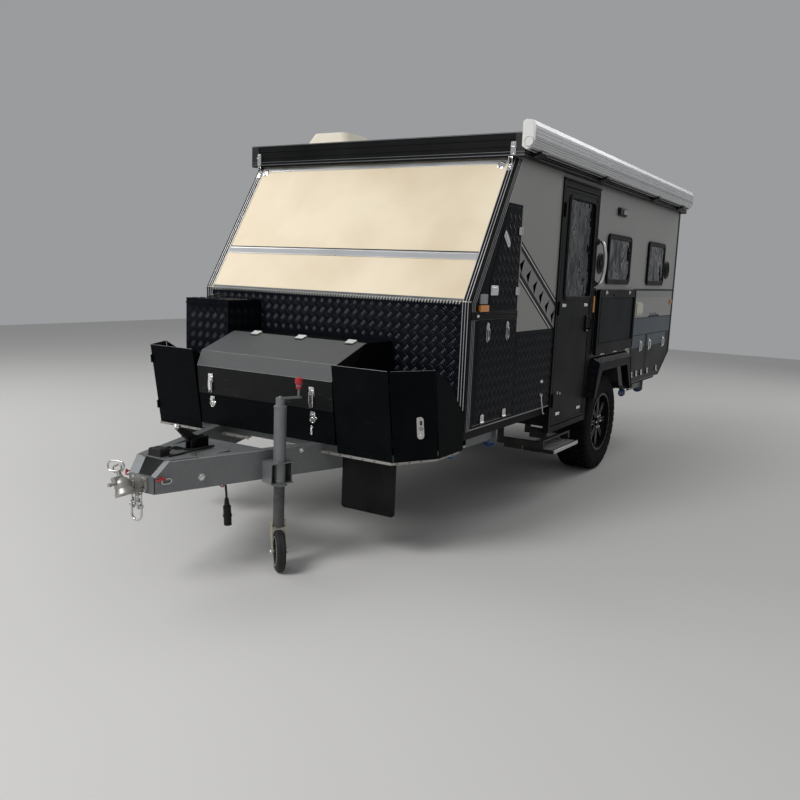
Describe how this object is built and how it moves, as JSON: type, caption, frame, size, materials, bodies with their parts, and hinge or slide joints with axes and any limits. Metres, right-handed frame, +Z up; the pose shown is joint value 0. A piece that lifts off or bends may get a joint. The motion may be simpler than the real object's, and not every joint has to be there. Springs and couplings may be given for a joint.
{
  "type": "off-road caravan trailer",
  "caption": "Compact off-road caravan on one axle with a lifting roof, tunnel boot, side hatches, drop-down table, drawbar toolbox and swing-up jockey wheel.",
  "frame": {"origin": "middle of the caravan's plan, on the ground it stands on", "axes": "+Z up, -Y towards the tow coupling, +X to the side with the entry door"},
  "size_m": [2.125, 6.11, 2.45],
  "materials": {
    "galvanised_steel": "hot-dip galvanised, dull",
    "black_steel": "black powder coat, satin",
    "chrome_trim": "bright",
    "black_chequer": "black chequer plate, satin",
    "cream_panel": "cream satin sheet",
    "grey_wall": "grey composite sheet, satin",
    "roof_shell": "pale moulded shell",
    "black_trim": "black anodised extrusion",
    "dark_glass": "dark tinted acrylic",
    "floor_board": "sealed composite board",
    "joinery": "light laminate",
    "mattress_cloth": "quilted cloth",
    "canvas": "grey canvas",
    "awning_white": "white coated cassette",
    "tyre_rubber": "matt rubber",
    "black_rubber": "matt rubber",
    "black_plastic": "moulded, matt",
    "step_aluminium": "ribbed extrusion",
    "amber_lens": "moulded lens"
  },
  "bodies": {
    "trailer": {"chassis_frame": "galvanised_steel", "coupling": "galvanised_steel", "safety_chains": "chrome_trim", "plug_cord": "black_rubber", "trailer_plug": "black_plastic", "toolbox": "black_steel", "gas_box": "black_chequer", "stone_guard_left": "black_steel", "stone_guard_right": "black_steel", "mud_flaps": "black_rubber", "floor": "floor_board", "front_wall": "black_chequer", "front_slope": "cream_panel", "left_wall": "grey_wall", "right_wall": "grey_wall", "rear_wall": "grey_wall", "partition": "joinery", "wheel_arches": "black_chequer", "door_frame": "black_trim", "window_frames": "black_trim", "window_panes": "dark_glass", "jockey_outer": "galvanised_steel", "furniture": "joinery", "mattress": "mattress_cloth", "canvas_skirt": "canvas", "suspension": "galvanised_steel", "water_tanks": "black_plastic", "grab_handle": "chrome_trim", "lamps": "amber_lens"},
    "coupling_head": {"coupling_head": "galvanised_steel"},
    "wheel_left": {"tyre_left": "tyre_rubber", "rim_left": "black_steel"},
    "wheel_right": {"tyre_right": "tyre_rubber", "rim_right": "black_steel"},
    "jockey_leg": {"jockey_inner": "galvanised_steel"},
    "jockey_fork": {"jockey_fork": "galvanised_steel"},
    "jockey_wheel": {"jockey_wheel": "black_rubber"},
    "main_door": {"door_leaf": "black_trim", "door_glass": "dark_glass"},
    "boot_door_left": {"boot_door_left": "black_chequer"},
    "boot_door_right": {"boot_door_right": "black_chequer"},
    "upper_hatch_left": {"upper_hatch_left": "black_chequer"},
    "upper_hatch_right": {"upper_hatch_right": "black_chequer"},
    "toolbox_lid": {"toolbox_lid": "black_steel"},
    "gas_box_lid": {"gas_box_lid": "black_chequer"},
    "guard_door_left": {"guard_door_left": "black_steel"},
    "guard_door_right": {"guard_door_right": "black_steel"},
    "picnic_table": {"picnic_table": "black_trim"},
    "middle_hatch": {"middle_hatch": "black_chequer"},
    "rear_hatch_left": {"rear_hatch_left": "black_chequer"},
    "rear_hatch_right": {"rear_hatch_right": "black_chequer"},
    "step": {"entry_step": "step_aluminium"},
    "steady_front_left": {"steady_front_left": "galvanised_steel"},
    "steady_front_right": {"steady_front_right": "galvanised_steel"},
    "steady_rear_left": {"steady_rear_left": "galvanised_steel"},
    "steady_rear_right": {"steady_rear_right": "galvanised_steel"},
    "roof": {"roof_trim": "black_trim", "roof_panel": "roof_shell", "roof_vent": "roof_shell", "awning": "awning_white"}
  },
  "joints": [
    {"name": "wheel_left_spin", "type": "hinge", "parent": "trailer", "child": "wheel_left", "pos_m": [0.824, 1.03, 0.39], "axis": [1, 0, 0], "continuous": true},
    {"name": "wheel_right_spin", "type": "hinge", "parent": "trailer", "child": "wheel_right", "pos_m": [-0.824, 1.03, 0.39], "axis": [1, 0, 0], "continuous": true},
    {"name": "jockey_extend", "type": "slide", "parent": "trailer", "child": "jockey_leg", "axis": [0, 0, -1], "range_m": [-0.18, 0.15]},
    {"name": "jockey_swivel", "type": "hinge", "parent": "jockey_leg", "child": "jockey_fork", "pos_m": [0.355, -2.3, 0.222], "axis": [0, 0, 1], "continuous": true},
    {"name": "jockey_wheel_spin", "type": "hinge", "parent": "jockey_fork", "child": "jockey_wheel", "pos_m": [0.38621, -2.3281, 0.105], "axis": [-0.6691, -0.7431, 0], "continuous": true},
    {"name": "coupling_turn", "type": "hinge", "parent": "trailer", "child": "coupling_head", "pos_m": [0, -2.9, 0.512], "axis": [0, 1, 0], "continuous": true},
    {"name": "door_swing", "type": "hinge", "parent": "trailer", "child": "main_door", "pos_m": [0.9843, -0.182, 1.34], "axis": [0, 0, -1], "range_deg": [0, 110]},
    {"name": "boot_door_left_drop", "type": "hinge", "parent": "trailer", "child": "boot_door_left", "pos_m": [0.9763, -1.113, 0.7], "axis": [0, 1, 0], "range_deg": [0, 105]},
    {"name": "boot_door_right_drop", "type": "hinge", "parent": "trailer", "child": "boot_door_right", "pos_m": [-0.9763, -1.113, 0.7], "axis": [0, -1, 0], "range_deg": [0, 105]},
    {"name": "upper_hatch_left_swing", "type": "hinge", "parent": "trailer", "child": "upper_hatch_left", "pos_m": [0.9763, -0.857, 1.62], "axis": [0, 0, 1], "range_deg": [0, 110]},
    {"name": "upper_hatch_right_swing", "type": "hinge", "parent": "trailer", "child": "upper_hatch_right", "pos_m": [-0.9763, -0.857, 1.62], "axis": [0, 0, -1], "range_deg": [0, 110]},
    {"name": "toolbox_lid_lift", "type": "hinge", "parent": "trailer", "child": "toolbox_lid", "pos_m": [0, -1.732, 1.1453], "axis": [-1, 0, 0], "range_deg": [0, 75]},
    {"name": "gas_box_lid_lift", "type": "hinge", "parent": "trailer", "child": "gas_box_lid", "pos_m": [-0.675, -1.482, 1.327], "axis": [-1, 0, 0], "range_deg": [0, 85]},
    {"name": "guard_door_left_swing", "type": "hinge", "parent": "trailer", "child": "guard_door_left", "pos_m": [0.834, -2.07621, 1.04395], "axis": [0, 0.1671, -0.9859], "range_deg": [0, 110]},
    {"name": "guard_door_right_swing", "type": "hinge", "parent": "trailer", "child": "guard_door_right", "pos_m": [-0.834, -2.07621, 1.04395], "axis": [0, -0.1671, 0.9859], "range_deg": [0, 110]},
    {"name": "table_drop", "type": "hinge", "parent": "trailer", "child": "picnic_table", "pos_m": [0.997, 1.11, 0.9615], "axis": [0, 1, 0], "range_deg": [0, 90]},
    {"name": "middle_hatch_drop", "type": "hinge", "parent": "trailer", "child": "middle_hatch", "pos_m": [0.9763, 1.885, 0.695], "axis": [0, 1, 0], "range_deg": [0, 100]},
    {"name": "rear_hatch_left_drop", "type": "hinge", "parent": "trailer", "child": "rear_hatch_left", "pos_m": [0.9763, 2.39, 0.695], "axis": [0, 1, 0], "range_deg": [0, 100]},
    {"name": "rear_hatch_right_drop", "type": "hinge", "parent": "trailer", "child": "rear_hatch_right", "pos_m": [-0.9763, 2.39, 0.695], "axis": [0, -1, 0], "range_deg": [0, 100]},
    {"name": "step_slide", "type": "slide", "parent": "trailer", "child": "step", "axis": [1, 0, 0], "range_m": [0, 0.22]},
    {"name": "steady_front_left_fold", "type": "hinge", "parent": "trailer", "child": "steady_front_left", "pos_m": [0.82, -1.255, 0.548], "axis": [-1, 0, 0], "range_deg": [0, 85]},
    {"name": "steady_front_right_fold", "type": "hinge", "parent": "trailer", "child": "steady_front_right", "pos_m": [-0.82, -1.255, 0.548], "axis": [-1, 0, 0], "range_deg": [0, 85]},
    {"name": "steady_rear_left_fold", "type": "hinge", "parent": "trailer", "child": "steady_rear_left", "pos_m": [0.82, 2.11, 0.548], "axis": [-1, 0, 0], "range_deg": [0, 85]},
    {"name": "steady_rear_right_fold", "type": "hinge", "parent": "trailer", "child": "steady_rear_right", "pos_m": [-0.82, 2.11, 0.548], "axis": [-1, 0, 0], "range_deg": [0, 85]},
    {"name": "roof_lift", "type": "slide", "parent": "trailer", "child": "roof", "axis": [0, 0, 1], "range_m": [0, 0.4], "deforming": ["canvas_skirt"]}
  ]
}
